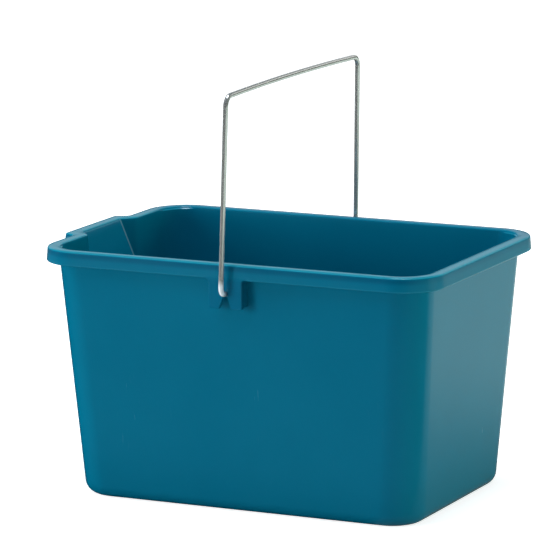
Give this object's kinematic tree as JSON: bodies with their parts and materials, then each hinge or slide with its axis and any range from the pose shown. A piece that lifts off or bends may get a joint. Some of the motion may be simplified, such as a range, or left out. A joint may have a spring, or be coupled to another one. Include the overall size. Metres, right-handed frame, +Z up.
{
  "type": "feed bucket",
  "caption": "Rectangular tapered plastic feed bucket with a skirted rim, a shallow pouring spout in an end wall and a bare wire bail that swings in ears on the long sides.",
  "frame": {"origin": "middle of the flat underside, on the ground", "axes": "+X along the bucket and away from the spout, +Y across it towards a long side, +Z up"},
  "size_m": [0.3466, 0.2522, 0.3334],
  "materials": {
    "teal_plastic": "moulded, satin gloss, finely scuffed",
    "steel_wire": "bright drawn wire"
  },
  "bodies": {
    "bucket": {"bucket_body": "teal_plastic"},
    "bail": {"wire_bail": "steel_wire"}
  },
  "joints": [
    {"name": "bail_swing", "type": "hinge", "parent": "bucket", "child": "bail", "pos_m": [0, 0, 0.177], "axis": [0, 1, 0], "range_deg": [-81.9, 78.9]}
  ]
}
